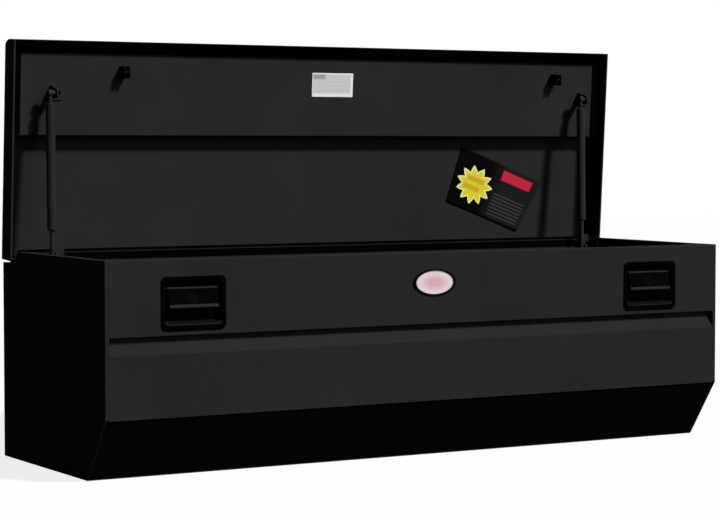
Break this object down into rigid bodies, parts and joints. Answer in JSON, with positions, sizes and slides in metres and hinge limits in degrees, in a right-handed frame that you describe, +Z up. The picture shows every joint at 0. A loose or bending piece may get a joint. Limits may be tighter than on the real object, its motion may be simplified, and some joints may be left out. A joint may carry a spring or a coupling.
{
  "type": "truck tool chest",
  "caption": "Low rectangular sheet-metal truck chest with one top lid on a full-length rear hinge, held open by gas struts, with paddle latches on the grooved front.",
  "frame": {"origin": "centre of the chest's footprint on the floor, taken over the full width and depth of the body", "axes": "+X across the width to the viewer's right, +Y from the front towards the hinge, +Z up"},
  "size_m": [1.546, 0.536, 0.8935],
  "materials": {
    "body_paint": "semi-gloss dark grey-black powder coat",
    "kick_paint": "matt dark powder coat",
    "lid_paint": "semi-gloss dark grey-black powder coat",
    "latch_black": "satin black",
    "zinc": "dull zinc plate",
    "dark_steel": "dark zinc plate",
    "lock_metal": "smooth black",
    "strut_black": "gloss black",
    "strut_rod": "smooth dark nitrided",
    "seal": "matt black",
    "badge": "gloss, blank",
    "label": "smooth, blank",
    "card": "smooth, printed with plain shapes, no wording"
  },
  "bodies": {
    "chest": {"back_panel": "body_paint", "badge_plate": "badge", "catch_bracket_left": "dark_steel", "catch_bracket_right": "dark_steel", "catch_pin_left": "dark_steel", "catch_pin_right": "dark_steel", "end_panel_left": "body_paint", "end_panel_right": "body_paint", "floor_panel": "body_paint", "front_panel": "body_paint", "hinge_body_leaf": "body_paint", "hinge_body_rivets": "body_paint", "hinge_ledge": "body_paint", "hinge_pin": "body_paint", "kick_panel": "kick_paint", "latch_gasket_left": "seal", "latch_gasket_right": "seal", "latch_nuts_left": "dark_steel", "latch_nuts_right": "dark_steel", "latch_pan_left": "latch_black", "latch_pan_right": "latch_black", "paddle_pin_left": "zinc", "paddle_pin_right": "zinc", "paddle_spring_left": "zinc", "paddle_spring_right": "zinc", "rear_rim": "body_paint", "rim_seal": "seal", "strut_body_bolts": "dark_steel", "strut_body_bracket_left": "body_paint", "strut_body_bracket_right": "body_paint"},
    "lid": {"lid_skin": "lid_paint", "lid_inner_pan": "lid_paint", "lid_seal": "seal", "hinge_lid_leaf": "body_paint", "hinge_lid_rivets": "body_paint", "striker_left": "dark_steel", "striker_right": "dark_steel", "striker_rivets": "dark_steel", "strut_lid_bracket_left": "lid_paint", "strut_lid_bracket_right": "lid_paint", "strut_lid_bolts": "dark_steel", "lid_label": "label", "lid_card": "card"},
    "paddle_left": {"paddle_left": "latch_black"},
    "lock_left": {"lock_plug_left": "lock_metal"},
    "catch_left": {"catch_hook_left": "dark_steel"},
    "strut_rod_left": {"strut_rod_left": "strut_rod"},
    "strut_tube_left": {"strut_tube_left": "strut_black"},
    "paddle_right": {"paddle_right": "latch_black"},
    "lock_right": {"lock_plug_right": "lock_metal"},
    "catch_right": {"catch_hook_right": "dark_steel"},
    "strut_rod_right": {"strut_rod_right": "strut_rod"},
    "strut_tube_right": {"strut_tube_right": "strut_black"}
  },
  "joints": [
    {"name": "lid_hinge", "type": "hinge", "parent": "chest", "child": "lid", "pos_m": [0, 0.197, 0.423], "axis": [1, 0, 0], "range_deg": [0, 86.3], "stiffness_Nm_per_rad": 6, "springref_deg": -57.3},
    {"name": "paddle_left", "type": "hinge", "parent": "chest", "child": "paddle_left", "pos_m": [-0.5685, -0.2515, 0.384], "axis": [-1, 0, 0], "range_deg": [0, 25], "stiffness_Nm_per_rad": 1, "springref_deg": -22.92},
    {"name": "lock_left", "type": "hinge", "parent": "paddle_left", "child": "lock_left", "pos_m": [-0.5685, -0.26389, 0.366], "axis": [0, 0.9762, -0.2169], "range_deg": [0, 90]},
    {"name": "catch_left", "type": "hinge", "parent": "chest", "child": "catch_left", "pos_m": [-0.511, -0.212, 0.385], "axis": [1, 0, 0], "range_deg": [0, 20]},
    {"name": "strut_swing_left", "type": "hinge", "parent": "lid", "child": "strut_tube_left", "pos_m": [-0.692, 0.16791, 0.77987], "axis": [1, 0, 0], "range_deg": [-1, 1.82]},
    {"name": "strut_stroke_left", "type": "slide", "parent": "strut_tube_left", "child": "strut_rod_left", "axis": [0, 0.0207, 0.9998], "range_m": [0, 0.06233]},
    {"name": "paddle_right", "type": "hinge", "parent": "chest", "child": "paddle_right", "pos_m": [0.5715, -0.2515, 0.384], "axis": [-1, 0, 0], "range_deg": [0, 25], "stiffness_Nm_per_rad": 1, "springref_deg": -22.92},
    {"name": "lock_right", "type": "hinge", "parent": "paddle_right", "child": "lock_right", "pos_m": [0.5715, -0.26389, 0.366], "axis": [0, 0.9762, -0.2169], "range_deg": [0, 90]},
    {"name": "catch_right", "type": "hinge", "parent": "chest", "child": "catch_right", "pos_m": [0.629, -0.212, 0.385], "axis": [1, 0, 0], "range_deg": [0, 20]},
    {"name": "strut_swing_right", "type": "hinge", "parent": "lid", "child": "strut_tube_right", "pos_m": [0.692, 0.16791, 0.77987], "axis": [1, 0, 0], "range_deg": [-1, 1.82]},
    {"name": "strut_stroke_right", "type": "slide", "parent": "strut_tube_right", "child": "strut_rod_right", "axis": [0, 0.0207, 0.9998], "range_m": [0, 0.06233]}
  ],
  "couplings": [
    {"joint": "catch_left", "follows": "paddle_left", "ratio": 0.78},
    {"joint": "strut_swing_left", "follows": "lid_hinge", "ratio": 0.01528},
    {"joint": "strut_stroke_left", "follows": "lid_hinge", "m_per_rad": 0.040715},
    {"joint": "catch_right", "follows": "paddle_right", "ratio": 0.78},
    {"joint": "strut_swing_right", "follows": "lid_hinge", "ratio": 0.01528},
    {"joint": "strut_stroke_right", "follows": "lid_hinge", "m_per_rad": 0.040715}
  ]
}
